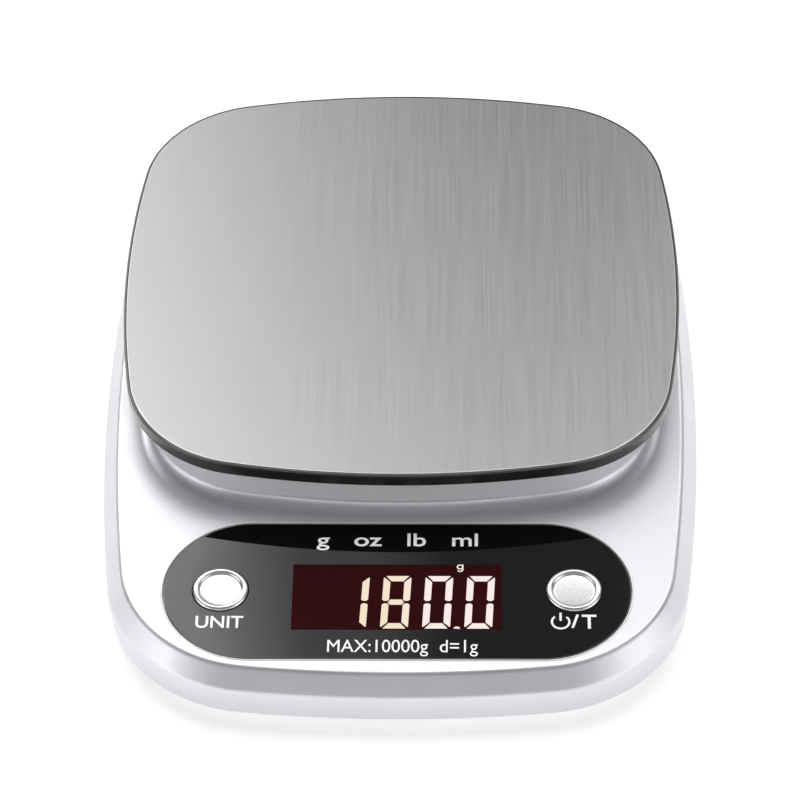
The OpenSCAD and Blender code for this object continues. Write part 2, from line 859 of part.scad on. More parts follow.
top_shell();
base_shell();
battery_door();
foot_front_left();
foot_front_right();
foot_rear_left();
foot_rear_right();
platter_plate();
platter_tray();
platter_bracket();
bracket_screws();
load_cell();
gauge_coating();
lower_spacer();
upper_spacer();
lower_cell_screws();
upper_cell_screws();
sensor_lead();
control_panel();
display_window();
display_module();
circuit_board();
controller_chip();
sensor_socket();
unit_switch();
power_switch();
unit_switch_stem();
power_switch_stem();
unit_button();
power_button();
battery_front();
battery_rear();
contact_bridge();
contact_positive();
contact_negative();
battery_lead_red();
battery_lead_black();
housing_screws();
board_screws();
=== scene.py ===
"""Looks of a digital kitchen scale: painted housing, brushed platter, gloss control panel.

Shapes are worked out in millimetres and become metres when a piece is made. The frame is
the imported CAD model's: +X is the user's right, the panel faces -Y, +Z is up.
"""
import json
from math import asin, atan2, cos, pi, radians, sin, tan

import bmesh
import bpy
from mathutils import Matrix, Vector
from mathutils.geometry import delaunay_2d_cdt


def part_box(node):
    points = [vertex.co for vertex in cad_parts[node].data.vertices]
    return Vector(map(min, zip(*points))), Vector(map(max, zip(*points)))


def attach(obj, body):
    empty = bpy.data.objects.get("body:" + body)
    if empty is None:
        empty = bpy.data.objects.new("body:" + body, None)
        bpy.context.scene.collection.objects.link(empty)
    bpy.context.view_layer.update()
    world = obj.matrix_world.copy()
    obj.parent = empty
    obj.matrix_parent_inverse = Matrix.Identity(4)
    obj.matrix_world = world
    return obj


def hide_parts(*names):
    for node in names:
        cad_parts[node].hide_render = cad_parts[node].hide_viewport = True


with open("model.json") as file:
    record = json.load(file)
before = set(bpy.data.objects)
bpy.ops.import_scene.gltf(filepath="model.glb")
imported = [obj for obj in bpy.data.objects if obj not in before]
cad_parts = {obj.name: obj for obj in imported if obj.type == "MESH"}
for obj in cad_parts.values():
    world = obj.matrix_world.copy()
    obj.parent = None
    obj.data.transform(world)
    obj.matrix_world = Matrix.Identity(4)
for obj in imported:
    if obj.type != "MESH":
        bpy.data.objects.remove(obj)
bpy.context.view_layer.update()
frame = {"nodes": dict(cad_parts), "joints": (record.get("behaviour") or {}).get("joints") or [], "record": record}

MM = 0.001


def box_mm(node):
    low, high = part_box(node)
    return low / MM, high / MM


# ---- Sizes, from the frame where it gives them ----

shell_low, shell_high = box_mm("top_shell")
HALF_W = shell_high.x
HALF_D = shell_high.y
LOW_Z = shell_low.z
PED_TOP = shell_high.z

WALL = 2.2
BODY_CORNER = 44.5
SIDE_BOW = 4.3
FRONT_BOW = 2.2
CREASE_Z = LOW_Z + 9.1
EDGE_INSET = 4.5

# Pedestal under the platter, and the cove that leads up to it
PED_HALF_W = 77.5
PED_FRONT = -51.6
PED_BACK = 104.5
PED_CORNER = 33.5
PED_SIDE_BOW = 4.0
PED_FRONT_BOW = 3.6
COVE_WIDER = 2.3
COVE_AHEAD = 4.7
COVE_BEHIND = 2.0
COVE_CORNER = 36.0
COVE_SIDE_BOW = 3.6
COVE_FRONT_BOW = 2.2
BAND_Z = 22.2
BAND_STEP = 0.4

# The deck's lean, from the way the unit button travels
press = next(j for j in frame["joints"] if j["name"] == "unit_press")
TILT = asin(press["axis"][1])

panel_low, panel_high = box_mm("control_panel")
PANEL_T = 1.0
PANEL_L = panel_high.x - panel_low.x
PANEL_H = (panel_high.y - panel_low.y - PANEL_T * sin(TILT)) / cos(TILT)
PANEL_Y = panel_low.y + PANEL_H / 2 * cos(TILT)
PANEL_Z = panel_high.z - PANEL_H / 2 * sin(TILT)
PANEL_GAP = 0.15

window_low, window_high = box_mm("display_window")
WINDOW_W = window_high.x - window_low.x
WINDOW_H = (window_high.y - window_low.y) / cos(TILT)
WINDOW_V = ((window_low.y + window_high.y) / 2 - PANEL_Y) / cos(TILT)

button_low, button_high = box_mm("power_button")
BUTTON_U = (button_low.x + button_high.x) / 2
BUTTON_R = (button_high.x - button_low.x) / 2
BUTTON_GAP = 0.3

plate_low, plate_high = box_mm("platter_plate")
tray_low, tray_high = box_mm("platter_tray")
PLATTER_Y = (plate_low.y + plate_high.y) / 2
PLATE_HALF = plate_high.x
PLATE_CORNER = 37.2
PLATE_SIDE_BOW = 3.0
PLATE_FRONT_BOW = 3.9
RIM_W = tray_high.x - plate_high.x
WEB_Z = plate_low.z - 1.9

CORNER_STEPS = 30
SIDE_STEPS = 18
SCREW_SPOTS = [(-72, -66), (72, -66), (-50, 104), (50, 104)]
BOARD_SPOTS = [(-52, -15.5), (52, -15.5), (-52, 15.5), (52, 15.5)]


# ---- Outlines: lists of (x, y), anticlockwise ----

def arc(cx, cy, radius, start, end, steps):
    """Points of an arc, without its last one, between two angles in radians."""
    angles = [start + (end - start) * i / steps for i in range(steps)]
    return [(cx + radius * cos(a), cy + radius * sin(a)) for a in angles]


def bow_radius(corner, bow, off):
    return (2 * corner * bow + bow * bow + off * off) / (2 * bow)


def bowed(half_w, half_d, side, front, corner, middle_y=0.0):
    """Rounded rectangle whose four sides bow outwards, as in the CAD model."""
    cx = half_w - corner - side
    cy = half_d - corner - front
    side_r = bow_radius(corner, side, cy)
    front_r = bow_radius(corner, front, cx)
    side_a = atan2(cy, cx - half_w + side_r)
    front_a = atan2(cy - half_d + front_r, cx)
    points = []
    for turn in (0, pi):
        sign = 1 if turn == 0 else -1
        points += arc(sign * (half_w - side_r), 0, side_r, turn - side_a, turn + side_a, SIDE_STEPS)
        points += arc(sign * cx, sign * cy, corner, turn + side_a, turn + front_a, CORNER_STEPS)
        points += arc(0, sign * (half_d - front_r), front_r, turn + front_a, turn + pi - front_a,
                      SIDE_STEPS)
        points += arc(-sign * cx, sign * cy, corner, turn + pi - front_a, turn + pi - side_a,
                      CORNER_STEPS)
    return [(x, y + middle_y) for x, y in points]


def body_outline(inset):
    return bowed(HALF_W - inset, HALF_D - inset, SIDE_BOW, FRONT_BOW, BODY_CORNER - inset)


def ped_outline(inset):
    half_d = (PED_BACK - PED_FRONT) / 2
    return bowed(PED_HALF_W - inset, half_d - inset, PED_SIDE_BOW, PED_FRONT_BOW,
                 PED_CORNER - inset, PED_FRONT + half_d)


def cove_outline():
    front = PED_FRONT - COVE_AHEAD
    back = PED_BACK + COVE_BEHIND
    return bowed(PED_HALF_W + COVE_WIDER, (back - front) / 2, COVE_SIDE_BOW, COVE_FRONT_BOW,
                 COVE_CORNER, (front + back) / 2)


def platter_outline(grow):
    half = PLATE_HALF + grow
    return bowed(half, half, PLATE_SIDE_BOW, PLATE_FRONT_BOW, PLATE_CORNER + grow, PLATTER_Y)


def rounded(width, height, corner, cx=0.0, cy=0.0, steps=8):
    """Rounded rectangle about (cx, cy); a stadium when its corner is half its height."""
    x, y = width / 2 - corner, height / 2 - corner
    points = []
    for quarter, (sx, sy) in enumerate(((1, 1), (-1, 1), (-1, -1), (1, -1))):
        start = quarter * pi / 2
        points += arc(cx + sx * x, cy + sy * y, corner, start, start + pi / 2, steps)
        points.append((cx + sx * x + corner * cos(start + pi / 2),
                       cy + sy * y + corner * sin(start + pi / 2)))
    distinct = [p for i, p in enumerate(points)
                if abs(p[0] - points[i - 1][0]) + abs(p[1] - points[i - 1][1]) > 1e-6]
    return distinct


def circle(cx, cy, radius, steps=96):
    return arc(cx, cy, radius, 0, 2 * pi, steps)


# ---- Places: from an outline's points to the shared frame ----

def deck_z(y):
    return PANEL_Z + (y - PANEL_Y) * tan(TILT)


def level(outline, z):
    return [(x, y, z) for x, y in outline]


def levels(outline, profile):
    """Level rings of an outline, one for each (offset, z)."""
    return [level(outline(offset), z) for offset, z in profile]


def on_plane(outline, drop):
    """The outline on the deck's plane, or below it by drop."""
    return [(x, y, deck_z(y) - drop) for x, y in outline]


def on_panel(u, v, w=0.0):
    """Point of the control panel's own frame, whose w is 0 on the deck."""
    return (u, PANEL_Y + v * cos(TILT) - w * sin(TILT), PANEL_Z + v * sin(TILT) + w * cos(TILT))


def panel_ring(outline, w):
    return [on_panel(u, v, w) for u, v in outline]


def bend(a, b, c, t):
    """Point of a curve with ends a and c and corner b."""
    return tuple(p * (1 - t) ** 2 + q * 2 * t * (1 - t) + r * t * t for p, q, r in zip(a, b, c))


# ---- Mesh building ----

def inside(point, loop):
    """Whether a point lies inside a closed loop of (x, y)."""
    hit = False
    x, y = point
    for (x0, y0), (x1, y1) in zip(loop, loop[1:] + loop[:1]):
        if (y0 > y) != (y1 > y) and x < x0 + (y - y0) * (x1 - x0) / (y1 - y0):
            hit = not hit
    return hit


class Skin:
    """A mesh under construction. Rings are anticlockwise seen from above."""

    def __init__(self):
        self.points = []
        self.faces = []

    def ring(self, points):
        first = len(self.points)
        self.points.extend(points)
        return list(range(first, first + len(points)))

    def band(self, low, high):
        """Faces between two rings; a ring of one point closes to a fan."""
        n = max(len(low), len(high))
        for i in range(n):
            k = (i + 1) % n
            if len(low) == 1:
                self.faces.append((low[0], high[k], high[i]))
            elif len(high) == 1:
                self.faces.append((low[i], low[k], high[0]))
            else:
                self.faces.append((low[i], low[k], high[k], high[i]))

    def stack(self, rings):
        """Joins rings in order, and returns the first and the last."""
        done = [ring if isinstance(ring[0], int) else self.ring(ring) for ring in rings]
        for low, high in zip(done, done[1:]):
            self.band(low, high)
        return done[0], done[-1]

    def region(self, outer, holes=(), up=True):
        """Flat face inside one ring and outside others."""
        loops = [outer, *holes]
        flat = [[self.points[i][:2] for i in loop] for loop in loops]
        where = [i for loop in loops for i in loop]
        edges = []
        for loop in loops:
            first = len(edges)
            edges += [(first + i, first + (i + 1) % len(loop)) for i in range(len(loop))]
        corners = [Vector(p) for loop in flat for p in loop]
        points, _, faces, origin, _, _ = delaunay_2d_cdt(corners, edges, [], 0, 1e-7)
        for face in faces:
            middle = sum((points[i] for i in face), Vector((0, 0))) / len(face)
            if not inside(middle, flat[0]) or any(inside(middle, hole) for hole in flat[1:]):
                continue
            ids = [where[origin[i][0]] for i in face]
            self.faces.append(tuple(ids if up else reversed(ids)))

    def turned(self, profile, place, steps=96):
        """Solid of revolution. The profile's (radius, height) points run from the lower
        middle outwards and up to the upper middle; place puts (x, y, height) in the frame."""
        rings = []
        for radius, height in profile:
            outline = [(0, 0)] if radius == 0 else circle(0, 0, radius, steps)
            rings.append([place(x, y, height) for x, y in outline])
        self.stack(rings)

    def tube(self, cx, cy, outer, inner, low, high, place=None):
        """Upright tube with square ends."""
        put = place or (lambda x, y, z: (x, y, z))
        rings = [self.ring([put(x, y, z) for x, y in circle(cx, cy, radius, 40)])
                 for radius, z in ((outer, low), (outer, high), (inner, high), (inner, low))]
        for low_ring, high_ring in zip(rings, rings[1:] + rings[:1]):
            self.band(low_ring, high_ring)

    def prism(self, outline, place, low, high):
        """Solid with one flat outline, which may be concave."""
        first, last = self.stack([[place(x, y, low) for x, y in outline],
                                  [place(x, y, high) for x, y in outline]])
        self.faces.append(tuple(reversed(first)))
        self.faces.append(tuple(last))

    def piece(self, name, body, slot, *nodes, sharp=32):
        mesh = bpy.data.meshes.new(name)
        mesh.from_pydata([Vector(p) * MM for p in self.points], [], self.faces)
        return finish_piece(mesh, name, body, slot, *nodes, sharp=sharp)


# CAD nodes that a piece of this script stands for
replaced = set()


def finish_piece(mesh, name, body, slot, *nodes, sharp=32):
    """Object of a new mesh: smooth faces, sharp edges, material, and its place in the frame."""
    mesh.validate()
    mesh.shade_smooth()
    mesh.set_sharp_from_angle(angle=radians(sharp))
    thing = bpy.data.objects.new(name, mesh)
    bpy.context.scene.collection.objects.link(thing)
    mesh.materials.append(materials[slot])
    weight_normals(thing)
    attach(thing, body)
    if nodes:
        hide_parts(*nodes)
        replaced.update(nodes)
    return thing


def weight_normals(thing):
    """Keeps large flat faces flat where they meet small curved ones."""
    weighted = thing.modifiers.new("weighted", "WEIGHTED_NORMAL")
    weighted.keep_sharp = True
    weighted.weight = 80


# ---- Materials ----

class Look:
    """A material's node tree, with its shader's own values set by name."""

    def __init__(self, name, **values):
        self.material = bpy.data.materials.new(name)
        self.material.use_nodes = True
        self.tree = self.material.node_tree
        self.shader = self.tree.nodes["Principled BSDF"]
        for key, value in values.items():
            self.shader.inputs[key.replace("_", " ")].default_value = value
        self.place = self.node("ShaderNodeTexCoord").outputs["Object"]

    def node(self, kind, **links):
        made = self.tree.nodes.new(kind)
        for key, value in links.items():
            self.put(value, made.inputs[key.replace("_", " ")])
        return made

    def put(self, value, socket):
        if isinstance(value, bpy.types.NodeSocket):
            self.tree.links.new(value, socket)
        else:
            socket.default_value = value

    def stretched(self, scale):
        """The place in the frame, scaled by (x, y, z) in cycles per metre."""
        return self.node("ShaderNodeMapping", Vector=self.place, Scale=scale).outputs["Vector"]

    def noise(self, scale, detail=2.0, roughness=0.5):
        """Noise from 0 to 1. A scale of three numbers stretches its grain."""
        per_axis = scale if isinstance(scale, tuple) else (scale, scale, scale)
        made = self.node("ShaderNodeTexNoise", Vector=self.stretched(per_axis), Scale=1.0,
                         Detail=detail, Roughness=roughness)
        return made.outputs["Fac"]

    def cells(self, scale):
        """Distance to the middle of the nearest random cell."""
        made = self.node("ShaderNodeTexVoronoi", Vector=self.stretched((scale,) * 3), Scale=1.0)
        return made.outputs["Distance"]

    def math(self, operation, a, b):
        made = self.tree.nodes.new("ShaderNodeMath")
        made.operation = operation
        self.put(a, made.inputs[0])
        self.put(b, made.inputs[1])
        return made.outputs[0]

    def spread(self, value, low, high, to_low=0.0, to_high=1.0):
        """Maps low..high onto to_low..to_high, held at the ends."""
        return self.node("ShaderNodeMapRange", Value=value, From_Min=low, From_Max=high,
                         To_Min=to_low, To_Max=to_high).outputs["Result"]

    def vary(self, noise, low, high):
        """Follows a noise from low to high."""
        return self.spread(noise, 0.3, 0.7, low, high)

    def blend(self, factor, a, b):
        made = self.tree.nodes.new("ShaderNodeMix")
        made.data_type = "RGBA"
        self.put(factor, made.inputs["Factor"])
        self.put(a, made.inputs[6])
        self.put(b, made.inputs[7])
        return made.outputs[2]

    def axis(self, name):
        """The place along one axis of the frame, in metres."""
        return self.node("ShaderNodeSeparateXYZ", Vector=self.place).outputs[name]

    def edges(self, reach):
        """1 on outer and inner edges, within reach metres of them, and 0 on flat ground."""
        soft = self.tree.nodes.new("ShaderNodeBevel")
        soft.samples = 4
        soft.inputs["Radius"].default_value = reach
        hard = self.tree.nodes.new("ShaderNodeNewGeometry")
        facing = self.node("ShaderNodeVectorMath")
        facing.operation = "DOT_PRODUCT"
        self.tree.links.new(soft.outputs["Normal"], facing.inputs[0])
        self.tree.links.new(hard.outputs["Normal"], facing.inputs[1])
        return self.spread(facing.outputs["Value"], 0.999, 0.93)

    def worn_edges(self, color, reach, amount, wear):
        return self.blend(self.spread(self.edges(reach), 0.0, 1.0, 0.0, amount), color, wear)

    def bump(self, height, distance, strength=1.0, under=None):
        made = self.node("ShaderNodeBump", Height=height, Distance=distance, Strength=strength)
        if under is not None:
            self.tree.links.new(under, made.inputs["Normal"])
        return made.outputs["Normal"]

    def finish(self, color=None, roughness=None, normal=None):
        for value, key in ((color, "Base Color"), (roughness, "Roughness"), (normal, "Normal")):
            if value is not None:
                self.put(value, self.shader.inputs[key])
        return self.material


def shade(color, factor):
    return tuple(min(1.0, c * factor) for c in color[:3]) + (1.0,)


def rgb(r, g, b):
    return (r, g, b, 1.0)


def worn(look, color, wear, reach=0.0003, tone=0.06, patches=25.0):
    """A colour with faint patches of tone and slightly different edges."""
    patched = look.blend(look.noise(patches, 3.0), shade(color, 1 - tone), shade(color, 1 + tone))
    strength = look.math("MULTIPLY", look.edges(reach), look.spread(look.noise(400.0), 0.4, 0.7, 0.3))
    return look.blend(look.math("MULTIPLY", strength, 0.6), patched, wear)


def silver_paint():
    """Satin metallic paint with fine flakes and a faint orange peel; plainer on the band."""
    base = rgb(0.79, 0.80, 0.825)
    look = Look("silver_paint", Coat_Weight=0.1, Coat_Roughness=0.3)
    flakes = look.spread(look.cells(4200.0), 0.15, 0.6)
    color = look.blend(flakes, shade(base, 1.04), shade(base, 0.95))
    color = look.worn_edges(color, 0.0004, 0.35, rgb(0.9, 0.9, 0.92))
    rough = look.vary(look.noise(60.0, 3.0), 0.37, 0.45)
    above = look.spread(look.axis("Z"), (BAND_Z - 0.05) * MM, (BAND_Z + 0.1) * MM, 0.82, 0.1)
    look.put(above, look.shader.inputs["Metallic"])
    peel = look.bump(look.noise(700.0, 2.0), 0.00003, 0.25)
    return look.finish(color, rough, look.bump(flakes, 0.00001, 0.25, peel))


def spark_eroded(name, base, wear, roughness):
    """Moulded plastic with the fine grain of a spark-eroded mould."""
    look = Look(name)
    grain = look.noise(2600.0, 4.0, 0.65)
    rough = look.vary(grain, roughness - 0.07, roughness + 0.07)
    return look.finish(worn(look, base, wear), rough, look.bump(grain, 0.00006, 0.55))


def foot_rubber():
    look = Look("foot_rubber", Specular_IOR_Level=0.35)
    base = rgb(0.028, 0.028, 0.03)
    grain = look.noise(1500.0, 5.0, 0.7)
    dust = look.spread(look.noise(220.0, 4.0), 0.45, 0.75)
    dusty = look.blend(dust, worn(look, base, rgb(0.09, 0.09, 0.09)), rgb(0.075, 0.072, 0.068))
    return look.finish(dusty, look.vary(grain, 0.72, 0.9), look.bump(grain, 0.00008, 0.6))


def stainless():
    """Steel sheet brushed from front to back."""
    base = rgb(0.46, 0.46, 0.45)
    look = Look("stainless", Metallic=1.0)
    strokes = look.noise((2600.0, 24.0, 2600.0), 4.0, 0.7)
    wide = look.noise((520.0, 9.0, 520.0), 3.0, 0.6)
    color = look.blend(strokes, shade(base, 0.93), shade(base, 1.07))
    color = look.blend(look.vary(wide, 0.0, 0.5), color, shade(base, 1.01))
    color = look.worn_edges(color, 0.0003, 0.5, rgb(0.8, 0.8, 0.79))
    rough = look.math("ADD", look.spread(strokes, 0.25, 0.75, 0.29, 0.37),
                      look.vary(wide, -0.01, 0.01))
    return look.finish(color, rough, look.bump(strokes, 0.000006, 0.2))


def tray_black():
    base = rgb(0.016, 0.0165, 0.0165)
    look = Look("tray_black", Coat_Weight=0.6, Coat_Roughness=0.2)
    grain = look.noise(1900.0, 3.0, 0.6)
    rough = look.vary(look.noise(90.0, 3.0), 0.24, 0.34)
    return look.finish(worn(look, base, rgb(0.05, 0.05, 0.05)), rough, look.bump(grain, 0.00002, 0.3))


def rolled_metal(name, base, roughness, stroke, wear=(0.85, 0.85, 0.86)):
    """Plated or milled metal: strokes give the three scales of its tool marks."""
    look = Look(name, Metallic=1.0)
    marks = look.noise(stroke, 4.0, 0.65)
    spots = look.spread(look.noise(180.0, 4.0, 0.6), 0.35, 0.7)
    color = look.blend(marks, shade(base, 0.9), shade(base, 1.06))
    color = look.blend(spots, color, shade(base, 0.93))
    color = look.worn_edges(color, 0.0002, 0.6, rgb(*wear))
    rough = look.math("ADD", look.vary(marks, roughness - 0.05, roughness + 0.05),
                      look.spread(spots, 0.0, 1.0, 0.0, 0.06))
    return look.finish(color, rough, look.bump(marks, 0.00002, 0.4))


def soft_cover(name, base, roughness=0.5, grain=900.0):
    """Wire insulation and silicone: soft, faintly uneven."""
    look = Look(name, Subsurface_Weight=0.05, Subsurface_Scale=0.0004)
    fine = look.noise(grain, 3.0, 0.6)
    color = look.blend(look.noise(70.0, 3.0), shade(base, 0.9), shade(base, 1.06))
    rough = look.vary(fine, roughness - 0.06, roughness + 0.08)
    return look.finish(color, rough, look.bump(fine, 0.00005, 0.35))


def panel_gloss():
    """Back-printed acrylic: deep black under a clear gloss face with faint waviness."""
    look = Look("panel_gloss", Coat_Weight=1.0, Coat_Roughness=0.035, Coat_IOR=1.5, IOR=1.5)
    base = rgb(0.0035, 0.0035, 0.004)
    color = look.blend(look.noise(160.0, 4.0), base, shade(base, 1.5))
    color = look.worn_edges(color, 0.0003, 0.4, rgb(0.04, 0.04, 0.045))
    rough = look.spread(look.noise(240.0, 4.0, 0.6), 0.3, 0.8, 0.06, 0.10)
    return look.finish(color, rough, look.bump(look.noise(45.0, 2.0), 0.00003, 0.12))


def window_red():
    """Deep red filter with an anti-glare face, which hardly reflects."""
    look = Look("window_red", Specular_IOR_Level=0.0)
    base = rgb(0.044, 0.0073, 0.0095)
    patches = look.noise((55.0, 90.0, 55.0), 3.0, 0.6)
    color = look.blend(patches, shade(base, 0.8), shade(base, 1.25))
    color = look.blend(look.spread(look.cells(1600.0), 0.1, 0.7, 0.0, 0.25), color, shade(base, 0.7))
    rough = look.vary(look.noise(900.0, 3.0), 0.36, 0.46)
    return look.finish(color, rough, look.bump(look.noise(1800.0, 3.0), 0.00001, 0.3))


def segment_light():
    """Lit segments: cream at the left of the display, pinkish white at its right."""
    look = Look("segment_light", Base_Color=rgb(0.02, 0.02, 0.02), Specular_IOR_Level=0.05,
                Emission_Strength=1.0)
    along = look.spread(look.axis("X"), 0.0, 0.008)
    hue = look.blend(along, rgb(0.905, 0.77, 0.565), rgb(0.975, 0.84, 0.785))
    uneven = look.vary(look.noise(330.0, 2.0), 0.0, 0.22)
    glow = look.blend(uneven, hue, rgb(0.86, 0.68, 0.60))
    look.put(glow, look.shader.inputs["Emission Color"])
    return look.finish(roughness=look.vary(look.noise(900.0), 0.4, 0.55))


def print_white():
    """Silvery white print, as bright as the paint beside it."""
    look = Look("print_white", Metallic=0.6)
    base = rgb(0.93, 0.93, 0.93)
    speck = look.noise(3200.0, 4.0, 0.7)
    color = look.blend(look.spread(speck, 0.3, 0.75), shade(base, 1.04), shade(base, 0.86))
    return look.finish(color, look.vary(speck, 0.38, 0.5), look.bump(speck, 0.00001, 0.4))


def painted_reflection_black():
    """Matt black for the painted reflection of the platter in the gloss panel; it hardly reflects light itself."""
    look = Look("painted_reflection_black", Specular_IOR_Level=0.03)
    base = rgb(0.0015, 0.0015, 0.0018)
    speck = look.noise(900.0, 3.0)
    color = look.blend(speck, base, shade(base, 1.6))
    return look.finish(color, look.vary(speck, 0.5, 0.6), look.bump(speck, 0.000005, 0.2))


def board_green():
    """Solder mask over copper tracks: straight tracks show through as lighter lines."""
    look = Look("board_green", Coat_Weight=0.4, Coat_Roughness=0.2)
    base = rgb(0.012, 0.13, 0.05)
    tracks = look.node("ShaderNodeTexBrick", Vector=look.stretched((420.0, 420.0, 420.0)), Scale=1.0,
                       Color1=rgb(0, 0, 0), Color2=rgb(0.1, 0.1, 0.1), Mortar=rgb(1, 1, 1),
                       Mortar_Size=0.09, Brick_Width=3.4, Row_Height=0.62)
    lines = tracks.outputs["Color"]
    vias = look.spread(look.cells(330.0), 0.16, 0.1)
    color = look.blend(lines, base, rgb(0.03, 0.27, 0.10))
    color = look.blend(vias, color, rgb(0.55, 0.53, 0.42))
    color = look.worn_edges(color, 0.0003, 0.7, rgb(0.35, 0.33, 0.16))
    height = look.math("ADD", lines, look.spread(vias, 0.0, 1.0, 0.0, 0.6))
    rough = look.vary(look.noise(500.0, 3.0), 0.3, 0.42)
    return look.finish(color, rough, look.bump(height, 0.00004, 0.6))


def button_plate():
    """Satin chrome plating with the finest trace of polishing."""
    base = rgb(0.86, 0.86, 0.865)
    look = Look("button_plate", Metallic=1.0)
    fine = look.noise(1400.0, 3.0, 0.6)
    color = look.blend(fine, shade(base, 0.97), shade(base, 1.03))
    color = look.blend(look.spread(look.noise(150.0, 3.0), 0.4, 0.7, 0.0, 0.4), color, shade(base, 0.95))
    rough = look.vary(fine, 0.27, 0.30)
    return look.finish(color, rough, look.bump(fine, 0.000001, 0.15))


def battery_wrap():
    """Plain sleeve: a dark body with a band of bronze towards the front cell's nub."""
    look = Look("battery_wrap", Coat_Weight=0.5, Coat_Roughness=0.12)
    low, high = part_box("battery_front")
    along = look.spread(look.axis("X"), low.x, high.x)
    band = look.spread(along, 0.695, 0.7)
    color = look.blend(band, rgb(0.03, 0.05, 0.075), rgb(0.36, 0.26, 0.11))
    stripe = look.math("MULTIPLY", look.spread(along, 0.672, 0.676), look.spread(along, 0.69, 0.686))
    color = look.blend(stripe, color, rgb(0.75, 0.75, 0.72))
    color = look.blend(look.spread(look.noise(260.0, 4.0), 0.45, 0.8, 0.0, 0.35), color, rgb(0.2, 0.2, 0.2))
    rough = look.vary(look.noise(700.0, 3.0), 0.22, 0.34)
    return look.finish(color, rough, look.bump(look.noise(500.0, 3.0), 0.00002, 0.35))


GREY_WEAR = rgb(0.85, 0.85, 0.85)
DARK_WEAR = rgb(0.12, 0.12, 0.12)
materials = {
    "silver_paint": silver_paint(),
    "base_plastic": spark_eroded("base_plastic", rgb(0.52, 0.53, 0.54), GREY_WEAR, 0.5),
    "foot_rubber": foot_rubber(),
    "stainless": stainless(),
    "tray_black": tray_black(),
    "pressed_steel": rolled_metal("pressed_steel", rgb(0.56, 0.57, 0.58), 0.38, (240.0, 30.0, 240.0)),
    "screw_steel": rolled_metal("screw_steel", rgb(0.55, 0.555, 0.56), 0.3, (900.0, 900.0, 900.0)),
    "cell_aluminium": rolled_metal("cell_aluminium", rgb(0.74, 0.745, 0.75), 0.34, (30.0, 900.0, 900.0)),
    "gauge_resin": soft_cover("gauge_resin", rgb(0.82, 0.82, 0.80), 0.42, 260.0),
    "wire_white": soft_cover("wire_white", rgb(0.80, 0.80, 0.78)),
    "wire_red": soft_cover("wire_red", rgb(0.55, 0.03, 0.025)),
    "wire_black": soft_cover("wire_black", rgb(0.02, 0.02, 0.02)),
    "panel_gloss": panel_gloss(),
    "window_red": window_red(),
    "display_case": spark_eroded("display_case", rgb(0.045, 0.045, 0.048), DARK_WEAR, 0.5),
    "segment_light": segment_light(),
    "print_white": print_white(),
    "board_green": board_green(),
    "chip_resin": spark_eroded("chip_resin", rgb(0.012, 0.012, 0.012), DARK_WEAR, 0.28),
    "socket_white": spark_eroded("socket_white", rgb(0.78, 0.76, 0.70), GREY_WEAR, 0.42),
    "switch_black": spark_eroded("switch_black", rgb(0.02, 0.02, 0.02), DARK_WEAR, 0.42),
    "stem_ivory": spark_eroded("stem_ivory", rgb(0.72, 0.66, 0.52), GREY_WEAR, 0.4),
    "button_plate": button_plate(),
    "battery_wrap": battery_wrap(),
    "contact_nickel": rolled_metal("contact_nickel", rgb(0.66, 0.65, 0.62), 0.22, (60.0, 700.0, 700.0)),
}


# ---- Housing ----

def edge_ring(t):
    """Ring of the deck's rounded edge, from the wall (0) to the deck (1)."""
    inset, drop = bend((EDGE_INSET - 0.65, 0.85), (EDGE_INSET, 0), (EDGE_INSET + 0.9, 0), t)
    return on_plane(body_outline(inset), drop)


def crease_ring(t):
    inset, z = bend((0, CREASE_Z - 0.8), (0, CREASE_Z), (0.6, CREASE_Z + 0.8), t)
    return level(body_outline(inset), z)


def cove_ring(angle):
    """Ring of the hollow cove, from the deck (0) up to the band (a quarter turn)."""
    rise = sin(angle)
    ring = []
    for (x0, y0), (x1, y1) in zip(cove_outline(), ped_outline(BAND_STEP)):
        y = y0 + (y1 - y0) * rise
        ring.append((x0 + (x1 - x0) * rise, y, BAND_Z - (BAND_Z - deck_z(y)) * cos(angle)))
    return ring


